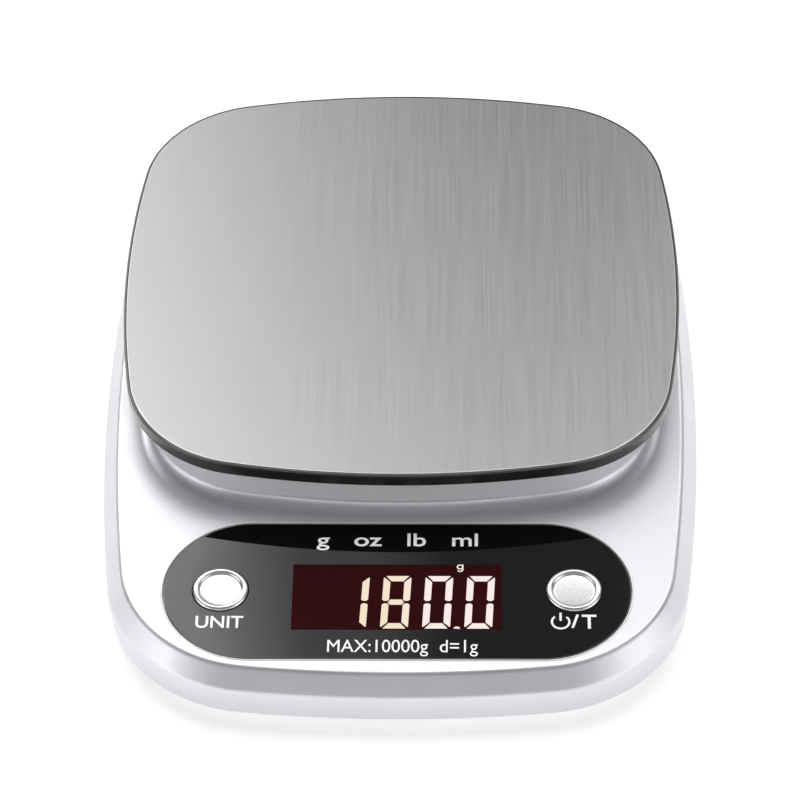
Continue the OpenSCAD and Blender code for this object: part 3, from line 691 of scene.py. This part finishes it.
def top_shell():
    skin = Skin()
    ceiling = PED_TOP - WALL
    ped_in = ped_outline(WALL)
    under_ped = skin.stack([level(ped_in, ceiling), on_plane(ped_in, WALL)])
    deck_steps = [i / 8 for i in range(9)]
    outside = skin.stack([
        on_plane(body_outline(5.9), WALL),
        *levels(body_outline, [(2.6, CREASE_Z - 0.4), (2.4, LOW_Z + 0.05), (2.35, LOW_Z), (0.8, LOW_Z),
                               (0.5, LOW_Z + 0.15), (0.35, LOW_Z + 0.5)]),
        *[crease_ring(t) for t in (0, 0.25, 0.5, 0.75, 1)],
        *[edge_ring(t) for t in deck_steps]])
    deck_edge = outside[1]
    cove = skin.stack([
        *[cove_ring(i * pi / 24) for i in range(13)],
        *levels(ped_outline, [(0.1, BAND_Z + 0.06), (0, BAND_Z + 0.2), (0, PED_TOP - 0.5),
                              (0.15, PED_TOP - 0.15), (0.5, PED_TOP)])])

    # Recess for the panel: chamfered lip, wall, floor with its openings
    recess = skin.stack([
        panel_ring(rounded(PANEL_L + 1.08, PANEL_H + 1.08, PANEL_H / 2 + 0.54, steps=36), 0),
        panel_ring(rounded(PANEL_L + 1.0, PANEL_H + 1.0, PANEL_H / 2 + 0.5, steps=36), -0.02),
        panel_ring(rounded(PANEL_L + 0.3, PANEL_H + 0.3, PANEL_H / 2 + PANEL_GAP, steps=36), -0.37),
        panel_ring(rounded(PANEL_L + 0.3, PANEL_H + 0.3, PANEL_H / 2 + PANEL_GAP, steps=36), -PANEL_T)])
    openings = [rounded(WINDOW_W + 0.8, WINDOW_H + 0.8, 0.3, 0, WINDOW_V, steps=2)]
    openings += [circle(side * BUTTON_U, 0, BUTTON_R + BUTTON_GAP) for side in (-1, 1)]
    through = [skin.stack([panel_ring(hole, -PANEL_T), panel_ring(hole, -WALL)]) for hole in openings]
    skin.region(recess[1], [hole[0] for hole in through])

    # Slot over the load cell's moving end
    cell_low, cell_high = box_mm("upper_spacer")
    slot = rounded(20, cell_high.y - cell_low.y + 6, 0.6, 0, (cell_low.y + cell_high.y) / 2, steps=3)
    slot_wall = skin.stack([level(slot, PED_TOP), level(slot, ceiling)])

    skin.region(deck_edge, [cove[0], recess[0]])
    skin.region(cove[1], [slot_wall[0]])
    skin.region(under_ped[0], [slot_wall[1]], up=False)
    skin.region(outside[0], [under_ped[1], *[hole[1] for hole in through]], up=False)

    for x, y in SCREW_SPOTS:
        skin.tube(x, y, 3.4, 1.2, 8.2, deck_z(y) - WALL + 0.4)
    for u, v in BOARD_SPOTS:
        skin.tube(u, v, 2.6, 1.0, -7.6, -WALL + 0.4, on_panel)
    skin.piece("top_shell_skin", "housing", "silver_paint", "top_shell")


def feet():
    """Moulded feet: a ring to stand on round a shallow hollow with a groove."""
    for name in ("foot_front_left", "foot_front_right", "foot_rear_left", "foot_rear_right"):
        low, high = box_mm(name)
        radius = (high.x - low.x) / 2
        middle = (low + high) / 2
        skin = Skin()
        skin.turned([(0, 0.3), (1.9, 0.3), (2.1, 0.45), (2.9, 0.45), (3.1, 0.3), (5.3, 0.3),
                     (5.55, 0.1), (5.8, 0), (radius - 0.7, 0), (radius - 0.35, 0.08),
                     (radius - 0.1, 0.32), (radius, 0.7), (radius, high.z - 0.1),
                     (radius - 0.1, high.z), (0, high.z)],
                    lambda x, y, z: (middle.x + x, middle.y + y, z), steps=72)
        skin.piece(name + "_pad", "housing", "foot_rubber", name)


# ---- Platter ----

CELL_SCREW_EDGE = 3.8
CELL_SCREW_PITCH = 15.0
CELL_HOLE_R = 4.5
BRACKET_SCREW_X = 48.0
BRACKET_SCREW_Y = 18.0
SCREW_HEAD_R = 3.1
SCREW_SHANK_R = 1.7
HEAD_SEAT = 0.7
RIB_W = 1.4
RIB_CORNER = 0.3
RIB_DEPTH = 1.0
RIB_SUNK = 0.2


def tray_holes():
    """Holes of the tray's web: its middle, and (radius, z) down its wall."""
    first_y = box_mm("upper_cell_screws")[0].y + CELL_SCREW_EDGE
    seat_z = WEB_Z + HEAD_SEAT
    plain = [(CELL_HOLE_R, plate_low.z), (CELL_HOLE_R, WEB_Z)]
    stepped = [(SCREW_HEAD_R, plate_low.z), (SCREW_HEAD_R, seat_z), (SCREW_SHANK_R, seat_z),
               (SCREW_SHANK_R, WEB_Z)]
    holes = [(0, first_y, plain), (0, first_y + CELL_SCREW_PITCH, plain)]
    return holes + [(side * BRACKET_SCREW_X, PLATTER_Y + end * BRACKET_SCREW_Y, stepped)
                    for side in (-1, 1) for end in (-1, 1)]


def tray_ribs():
    """Stiffening ribs under the web, as (middle x, middle y, length)."""
    long_ribs = [(0, PLATTER_Y + end * 60, 120) for end in (-1, 1)]
    return long_ribs + [(x, PLATTER_Y + end * 36, 48) for end in (-1, 1) for x in (-44, 44)]


def platter():
    plate = Skin()
    top = plate_high.z
    rings = plate.stack(levels(platter_outline, [
        (-0.25, plate_low.z), (-0.05, plate_low.z + 0.05), (0, plate_low.z + 0.2), (0, top - 0.3),
        (-0.04, top - 0.14), (-0.14, top - 0.04), (-0.32, top)]))
    plate.region(rings[0], up=False)
    plate.region(rings[1])
    plate.piece("platter_steel", "platter", "stainless", "platter_plate")

    tray = Skin()
    rim_top = tray_high.z
    rim_low = tray_low.z
    rings = tray.stack(levels(platter_outline, [
        (RIM_W - 2.2, WEB_Z), (RIM_W - 2.2, rim_low), (RIM_W - 0.6, rim_low),
        (RIM_W - 0.3, rim_low + 0.07), (RIM_W - 0.1, rim_low + 0.28), (RIM_W, rim_low + 0.7),
        (RIM_W, rim_top - 0.6), (RIM_W - 0.06, rim_top - 0.3), (RIM_W - 0.2, rim_top - 0.1),
        (RIM_W - 0.45, rim_top), (0.12, rim_top), (0.12, plate_low.z)]))
    walls = [tray.stack([level(circle(x, y, radius, 40), z) for radius, z in hole])
             for x, y, hole in tray_holes()]
    tray.region(rings[1], [wall[0] for wall in walls])
    tray.region(rings[0], [wall[1] for wall in walls], up=False)
    for x, y, length in tray_ribs():
        outline = rounded(length, RIB_W, RIB_CORNER, x, y, steps=3)
        tray.prism(outline, lambda x, y, z: (x, y, z), WEB_Z - RIB_DEPTH, WEB_Z + RIB_SUNK)
    tray.piece("platter_rim", "platter", "tray_black", "platter_tray")


# ---- Control panel ----

# Painted reflection of the platter in the panel: the height of its lower edge and the radius of its bow.
REFLECTION_FIELD_V = 14.4
REFLECTION_FIELD_BOW = 268.0


def panel():
    skin = Skin()
    half = PANEL_H / 2

    def outline(inset):
        return rounded(PANEL_L - 2 * inset, PANEL_H - 2 * inset, half - inset, steps=36)

    rings = skin.stack([panel_ring(outline(0), -PANEL_T), panel_ring(outline(0), -0.3),
                        panel_ring(outline(0.06), -0.1), panel_ring(outline(0.25), 0)])
    holes = []
    for hole in [rounded(WINDOW_W, WINDOW_H, 0.25, 0, WINDOW_V, steps=2),
                 *[circle(side * BUTTON_U, 0, BUTTON_R + BUTTON_GAP) for side in (-1, 1)]]:
        holes.append(skin.stack([panel_ring(hole, 0), panel_ring(hole, -PANEL_T)]))
    skin.region(rings[1], [hole[0] for hole in holes])
    skin.region(rings[0], [hole[1] for hole in holes], up=False)
    skin.piece("panel_fascia", "housing", "panel_gloss", "control_panel")


def panel_trim():
    """Bright bead round the recess, a little proud of the deck."""
    skin = Skin()
    off, depth, radius = 0.5, 0.1, 0.3
    rings = []
    for i in range(16):
        turn = 2 * pi * i / 16
        out = off + radius * cos(turn)
        outline = rounded(PANEL_L + 2 * out, PANEL_H + 2 * out, PANEL_H / 2 + out, steps=36)
        rings.append(skin.ring(panel_ring(outline, radius * sin(turn) - depth)))
    for low, high in zip(rings, rings[1:] + rings[:1]):
        skin.band(low, high)
    skin.piece("panel_trim", "housing", "print_white")


def painted_reflection_field():
    """Painted reflection: a matt black field that stands in for the platter's mirror image in the gloss panel,
    with a bowed lower edge.
    """
    skin = Skin()
    inset = 0.35
    whole = rounded(PANEL_L - 2 * inset, PANEL_H - 2 * inset, PANEL_H / 2 - inset, steps=36)

    def lower_edge(u):
        return REFLECTION_FIELD_V + u * u / (2 * REFLECTION_FIELD_BOW)

    upper = sorted((p for p in whole if p[1] > lower_edge(p[0])), reverse=True)
    left, right = upper[-1][0], upper[0][0]
    lower = [(u, lower_edge(u)) for u in (left + (right - left) * i / 60 for i in range(61))]
    skin.prism(upper + lower, on_panel, -0.2, 0.008)
    # This piece is a painted reflection of the platter, not a print on the panel.
    thing = skin.piece("painted_reflection_field", "housing", "panel_gloss")
    thing.data.materials[0] = painted_reflection_black()


def window():
    skin = Skin()
    top = -0.02

    def outline(inset):
        return rounded(WINDOW_W - 2 * inset, WINDOW_H - 2 * inset, 0.3, 0, WINDOW_V, steps=3)

    rings = skin.stack([panel_ring(outline(0.02), -PANEL_T), panel_ring(outline(0.02), top - 0.12),
                        panel_ring(outline(0.1), top)])
    skin.region(rings[0], up=False)
    skin.region(rings[1])
    skin.piece("display_lens", "housing", "window_red", "display_window")


DIGIT_W = 8.1
DIGIT_H = 19.8
DIGIT_PITCH = 11.8
DIGIT_LEAN = radians(2.6)
STROKE = 2.2
GAP = 0.19
SEGMENT_INSET = 0.13
LIT_TOP = -0.005
LIT_ROOT = -0.3


def segment_outlines():
    """The seven segments of one digit, about its middle, by letter."""
    x = DIGIT_W / 2
    y = DIGIT_H / 2
    inner = x - STROKE
    tip = 0.55
    bar = 1.1
    upper_right = [(inner, y - STROKE - GAP), (inner, 0.35 + tip), (inner + 0.6, 0.35),
                   (x - 0.6, 0.35), (x, 0.35 + tip), (x, y - GAP - 0.75), (x - 0.32, y - GAP - 0.3)]
    lower_right = [(px, -py) for px, py in reversed(upper_right)]
    middle = [(-inner - STROKE / 2 + GAP + 0.3, 0), (-inner + 0.15, -bar), (inner - 0.15, -bar),
              (inner + STROKE / 2 - GAP - 0.3, 0), (inner - 0.15, bar), (-inner + 0.15, bar)]
    top = [(-x + 0.55, y), (-inner + 0.1, y - 2.25), (inner - 0.1, y - 2.25), (x - 0.55, y)]
    return {
        "a": top,
        "b": list(reversed(upper_right)),
        "c": list(reversed(lower_right)),
        "d": [(-px, -py) for px, py in top],
        "e": [(-px, -py) for px, py in reversed(upper_right)],
        "f": [(-px, -py) for px, py in reversed(lower_right)],
        "g": middle,
    }


def digits():
    """Reading of 180.0 g, as thin lit prisms let into the lens."""
    lit = {"1": "bc", "8": "abcdefg", "0": "abcdef"}
    middle_v = WINDOW_V - 1.9
    first_u = -12.1
    skin = Skin()
    shapes = segment_outlines()

    def put(u, v, w):
        return on_panel(u + (v - middle_v) * tan(DIGIT_LEAN), v, w)

    for place, figure in enumerate("1800"):
        middle_u = first_u + place * DIGIT_PITCH
        for letter in lit[figure]:
            outline = [(middle_u + x, middle_v + y) for x, y in shapes[letter]]
            if signed_area(outline) < 0:
                outline.reverse()
            skin.prism(shrunk(outline, SEGMENT_INSET), put, LIT_ROOT, LIT_TOP)
    point_v = middle_v - DIGIT_H / 2
    point = arc(17.3, point_v, 0.95, 0, pi, 16)
    skin.prism(point, put, LIT_ROOT, LIT_TOP)
    skin.piece("reading_digits", "housing", "segment_light")


def shrunk(outline, inset):
    """A convex outline with every side moved inwards."""
    sides = []
    for (x0, y0), (x1, y1) in zip(outline, outline[1:] + outline[:1]):
        along = Vector((x1 - x0, y1 - y0)).normalized()
        inwards = Vector((-along.y, along.x))
        sides.append((Vector((x0, y0)) + inwards * inset, along))
    points = []
    for (p, a), (q, b) in zip(sides[-1:] + sides[:-1], sides):
        cross = a.x * b.y - a.y * b.x
        step = ((q.x - p.x) * b.y - (q.y - p.y) * b.x) / cross
        points.append(tuple(p + a * step))
    return points


def signed_area(outline):
    return sum(x0 * y1 - x1 * y0
               for (x0, y0), (x1, y1) in zip(outline, outline[1:] + outline[:1])) / 2


PRINT_TOP = 0.015
PRINT_ROOT = -0.2


def legend(name, words, left, right, low, high, bold=0.0):
    """Raised print fitted into a rectangle of the panel's own frame."""
    text = bpy.data.curves.new(name + "_text", "FONT")
    text.body = words
    text.extrude = 0.01
    text.offset = bold
    text.resolution_u = 5
    shape = bpy.data.objects.new(name + "_shape", text)
    bpy.context.scene.collection.objects.link(shape)
    bpy.context.view_layer.update()
    solid = shape.evaluated_get(bpy.context.evaluated_depsgraph_get())
    mesh = bpy.data.meshes.new_from_object(solid)
    bpy.data.objects.remove(shape)
    work = bmesh.new()
    work.from_mesh(mesh)
    bmesh.ops.remove_doubles(work, verts=work.verts, dist=1e-5)
    xs = [v.co.x for v in work.verts]
    ys = [v.co.y for v in work.verts]
    for v in work.verts:
        u = left + (right - left) * (v.co.x - min(xs)) / (max(xs) - min(xs))
        height = low + (high - low) * (v.co.y - min(ys)) / (max(ys) - min(ys))
        v.co = Vector(on_panel(u, height, PRINT_TOP if v.co.z > 0 else PRINT_ROOT)) * MM
    work.to_mesh(mesh)
    work.free()
    mesh.materials.clear()
    finish_piece(mesh, name, "housing", "print_white")


def power_symbol():
    """Open circle with a bar, and the stroke between it and the tare mark."""
    skin = Skin()
    cu, cv = 45.95, -11.6
    outer, inner = 2.75, 2.15
    gap = radians(38)
    ring = arc(cu, cv, outer, pi / 2 + gap, 5 * pi / 2 - gap, 40)
    back = arc(cu, cv, inner, 5 * pi / 2 - gap, pi / 2 + gap, 40)
    bar = rounded(0.62, 3.0, 0.15, cu, cv + 1.85, steps=3)
    stroke = [(48.9, -13.8), (49.65, -13.8), (51.1, -8.9), (50.35, -8.9)]
    for outline in (ring + back, bar, stroke):
        skin.prism(outline, on_panel, PRINT_ROOT, PRINT_TOP)
    skin.piece("power_symbol", "housing", "print_white")


def gram_mark():
    """Small lit g: a round bowl, a stem and a hook."""
    skin = Skin()
    cu, cv, outer, inner = 17.75, 8.85, 0.95, 0.55
    bowl = circle(cu, cv, outer, 32)
    hole = circle(cu, cv, inner, 32)
    rings = [skin.ring(panel_ring(ring, w)) for ring, w in
             ((bowl, LIT_ROOT), (bowl, LIT_TOP), (hole, LIT_TOP), (hole, LIT_ROOT))]
    for low, high in zip(rings, rings[1:] + rings[:1]):
        skin.band(low, high)
    hook_v = 7.9
    stem = [(cu + inner + 0.02, hook_v), (cu + outer, hook_v), (cu + outer, cv + outer),
            (cu + inner + 0.02, cv + outer)]
    skin.prism(stem, on_panel, LIT_ROOT, LIT_TOP + 0.001)
    hook = arc(cu, hook_v, outer, -radians(150), 0, 16) + [(cu + outer, hook_v)]
    back = arc(cu, hook_v, inner, 0, -radians(150), 16)
    skin.prism(hook + back, on_panel, LIT_ROOT, LIT_TOP)
    skin.piece("gram_mark", "housing", "segment_light")


def prints():
    legend("unit_list", "g   oz   lb   ml", -23.2, 22.8, 15.1, 21.6, bold=0.012)
    legend("capacity", "MAX:10000g  d=1g", -19.2, 22.8, -24.3, -18.3)
    legend("unit_word", "UNIT", -56.4, -43.0, -14.1, -9.65, bold=0.012)
    legend("tare_mark", "T", 51.9, 56.0, -14.1, -8.95, bold=0.012)
    gram_mark()
    power_symbol()


def buttons():
    """Plated caps: a raised rounded ring round a dished middle."""
    ring_r = 0.95
    ring_top = 0.9
    flank = radians(150)
    for side, body in ((-1, "unit_button"), (1, "power_button")):
        profile = [(0, -3.5), (1.5, -3.5), (1.5, -1.2), (BUTTON_R - 1.6, -1.2), (BUTTON_R - 1.6, -2.2),
                   (BUTTON_R - 0.1, -2.2), (BUTTON_R, -2.1), (BUTTON_R, ring_top - ring_r)]
        for i in range(1, 15):
            a = flank * i / 14
            profile.append((BUTTON_R - ring_r + ring_r * cos(a), ring_top - ring_r + ring_r * sin(a)))
        foot = profile[-1]
        dish_r = BUTTON_R - 2.5
        corner = (foot[0] - 0.25, 0.05)
        profile += [bend(foot, corner, (dish_r, 0.05), i / 8) for i in range(1, 9)]
        profile += [(dish_r * (1 - i / 8), 0.05 - 0.1 * (1 - (1 - i / 8) ** 2)) for i in range(1, 9)]
        skin = Skin()
        skin.turned(profile, lambda x, y, z: on_panel(side * BUTTON_U + x, y, z), steps=128)
        skin.piece(body + "_cap", body, "button_plate", body)


# ---- Batteries ----

def batteries():
    """Cells with rolled ends: a printed sleeve, and metal at both ends."""
    for name, nub_right in (("battery_front", True), ("battery_rear", False)):
        low, high = box_mm(name)
        y = (low.y + high.y) / 2
        z = (low.z + high.z) / 2
        radius = (high.z - low.z) / 2
        nub = 0.9
        start, end = (low.x, high.x - nub) if nub_right else (low.x + nub, high.x)

        def along(a, b, c):
            return (c, y + a, z + b)

        sleeve = Skin()
        rolled = [(radius - 0.9, 0.2), (radius - 0.5, 0.05), (radius - 0.15, 0.12), (radius, 0.45)]
        profile = [(r, start + h) for r, h in rolled] + [(r, end - h) for r, h in reversed(rolled)]
        sleeve.turned(profile + profile[:1], along, steps=64)
        sleeve.piece(name + "_sleeve", "housing", "battery_wrap", name)
        ends = Skin()
        tip = [(1.9, 0.0), (1.9, nub - 0.15), (1.75, nub), (0, nub)]
        flat = [(0, start + 0.05), (3.6, start + 0.05), (3.7, start + 0.2), (radius - 0.85, start + 0.25),
                (radius - 0.85, end - 0.3), (3.2, end - 0.3), (3.0, end - 0.02)]
        ends.turned(flat + [(r, end + h) for r, h in tip],
                    along if nub_right else mirrored(start, end, along), steps=64)
        ends.piece(name + "_ends", "housing", "contact_nickel")


def mirrored(start, end, place):
    """The same place with its length reversed, and turned so that it keeps its hand."""
    return lambda a, b, c: place(-a, b, start + end - c)


# ---- CAD nodes that keep their shape ----

def keep_nodes():
    """Finer edges and the right material for every node that is still shown."""
    slots = {part["node"]: part["material_slot"] for part in frame["record"]["subparts"]}
    thin = {"sensor_lead", "battery_lead_red", "battery_lead_black", "contact_bridge", "contact_negative"}
    for name, node in frame["nodes"].items():
        if name in replaced:
            continue
        node.data.materials.clear()
        node.data.materials.append(materials[slots[name]])
        weld = node.modifiers.new("weld", "WELD")
        weld.merge_threshold = 0.000002
        if name not in thin:
            bevel = node.modifiers.new("edge", "BEVEL")
            bevel.width = 0.00015
            bevel.segments = 2
            bevel.limit_method = "ANGLE"
            bevel.angle_limit = radians(40)
        weight_normals(node)


# ---- Stage ----

CARD_LEFT = 2.0
CARD_PLAIN = 0.5
CARD_MIDDLE = 0.13
CARD_RIGHT = 1.9
CARD_X = 1.5
CARD_Y = 1.25
CARD_LEAN = 0.25
CARD_LOW = 0.5
CARD_HIGH = 2.3
FLOOR_GLOW = 0.5
FLOOR_HALF = 6.0
WORLD_GREY = (0.19, 0.19, 0.195, 1)
LIGHT_TARGET = (0, 0, 0.02)
# Name, place, width, height, radiance
LIGHTS = [
    ("front", (0, -1.5, 0.72), 1.6, 0.3, 0.25),
    ("front_left", (-1.1, -0.95, 0.2), 0.9, 0.36, 1.4),
    ("front_right", (1.1, -0.95, 0.2), 0.9, 0.36, 1.4),
    ("over_left", (-1.1, -0.45, 0.8), 0.8, 0.5, 0.4),
    ("over_right", (1.1, -0.45, 0.8), 0.8, 0.5, 0.8),
    ("low_front", (0, -1.6, 0.2), 1.4, 0.3, 1.0),
    ("left", (-1.4, -0.35, 0.28), 1.0, 0.34, 1.9),
    ("right", (1.4, -0.35, 0.28), 1.0, 0.34, 1.9),
    ("high_back", (0, 0.75, 2.0), 2.0, 0.7, 3.0),
]


def look_at(thing, place, target):
    thing.location = place
    direction = Vector(target) - Vector(place)
    thing.rotation_euler = direction.to_track_quat("-Z", "Y").to_euler()


def camera():
    """At the photograph's angle: 45 degrees up, nearly square to the front."""
    target = Vector((0.0001335, -0.02025, 0.032))
    distance = 1.140
    lift = radians(45.03)
    yaw = radians(1.51)
    roll = radians(-1.02)
    back = Vector((sin(yaw) * cos(lift), -cos(yaw) * cos(lift), sin(lift)))
    right = Vector((cos(yaw), sin(yaw), 0))
    up = back.cross(right)
    side = cos(roll) * right + sin(roll) * up
    top = -sin(roll) * right + cos(roll) * up
    lens = bpy.data.cameras.new("camera")
    lens.lens = 176.38
    lens.sensor_width = 36
    lens.clip_start = 0.01
    thing = bpy.data.objects.new("camera", lens)
    turn = Matrix((side, top, back)).transposed()
    thing.matrix_world = Matrix.Translation(target + back * distance) @ turn.to_4x4()
    bpy.context.scene.collection.objects.link(thing)
    bpy.context.scene.camera = thing


def softbox(name, place, width, height, radiance):
    """Area light of a given radiance, whatever its size."""
    lamp = bpy.data.lights.new(name, "AREA")
    lamp.shape = "RECTANGLE"
    lamp.size = width
    lamp.size_y = height
    lamp.energy = radiance * pi * width * height
    thing = bpy.data.objects.new(name, lamp)
    thing.visible_camera = False
    look_at(thing, place, LIGHT_TARGET)
    bpy.context.scene.collection.objects.link(thing)


def stage_plane(name, corners, material):
    mesh = bpy.data.meshes.new(name)
    mesh.from_pydata(corners, [], [(0, 1, 2, 3)])
    mesh.materials.append(material)
    thing = bpy.data.objects.new(name, mesh)
    bpy.context.scene.collection.objects.link(thing)
    return thing


def see_through_below(tree):
    """Lets a view from under the floor reach the underside."""
    output = next(node for node in tree.nodes if node.type == "OUTPUT_MATERIAL")
    top = output.inputs["Surface"].links[0].from_socket
    mix = tree.nodes.new("ShaderNodeMixShader")
    clear = tree.nodes.new("ShaderNodeBsdfTransparent")
    facing = tree.nodes.new("ShaderNodeNewGeometry")
    tree.links.new(facing.outputs["Backfacing"], mix.inputs[0])
    tree.links.new(top, mix.inputs[1])
    tree.links.new(clear.outputs[0], mix.inputs[2])
    tree.links.new(mix.outputs[0], output.inputs["Surface"])


def back_card():
    """Lit card behind the object, out of view: bright at its sides, dim in the middle."""
    look = Look("back_card_paper", Base_Color=rgb(0, 0, 0), Specular_IOR_Level=0.0)
    look.put(rgb(1, 1, 1), look.shader.inputs["Emission Color"])
    across = look.axis("X")
    left_glow = look.spread(across, -0.24, -0.13, CARD_LEFT, CARD_PLAIN)
    fading = look.math("ADD", left_glow, look.spread(across, -0.07, 0.0, 0.0, CARD_MIDDLE - CARD_PLAIN))
    far_left = look.spread(across, -0.7, -0.3, CARD_LEFT, 0.0)
    rising = look.spread(across, 0.22, 0.5, 0.0, CARD_RIGHT)
    upward = look.spread(look.axis("Z"), 1.0, 1.6, 0.72, 1.0)
    both_sides = look.math("ADD", far_left, rising)
    strength = look.math("MULTIPLY", look.math("ADD", fading, both_sides), upward)
    look.put(strength, look.shader.inputs["Emission Strength"])
    corners = [(-CARD_X, CARD_Y, CARD_LOW), (CARD_X, CARD_Y, CARD_LOW),
               (CARD_X, CARD_Y + CARD_LEAN, CARD_HIGH), (-CARD_X, CARD_Y + CARD_LEAN, CARD_HIGH)]
    card = stage_plane("back_card", corners, look.finish())
    card.visible_camera = False


def stage():
    size = FLOOR_HALF
    look = Look("floor_paper", Specular_IOR_Level=0.0, Roughness=0.9, Emission_Strength=FLOOR_GLOW)
    paper = look.blend(look.noise(3.0, 2.0), rgb(0.93, 0.93, 0.93), rgb(0.95, 0.95, 0.95))
    look.put(paper, look.shader.inputs["Emission Color"])
    paper_look = look.finish(paper)
    see_through_below(paper_look.node_tree)
    stage_plane("floor", [(-size, -size, 0), (size, -size, 0), (size, size, 0), (-size, size, 0)],
                paper_look)
    back_card()

    world = bpy.data.worlds.new("studio")
    world.use_nodes = True
    world.node_tree.nodes["Background"].inputs["Color"].default_value = WORLD_GREY
    bpy.context.scene.world = world

    for name, place, width, height, radiance in LIGHTS:
        softbox(name, place, width, height, radiance)
    bpy.context.scene.view_settings.view_transform = "Standard"


camera()
stage()
top_shell()
feet()
platter()
panel()
panel_trim()
painted_reflection_field()
window()
digits()
prints()
buttons()
batteries()
keep_nodes()
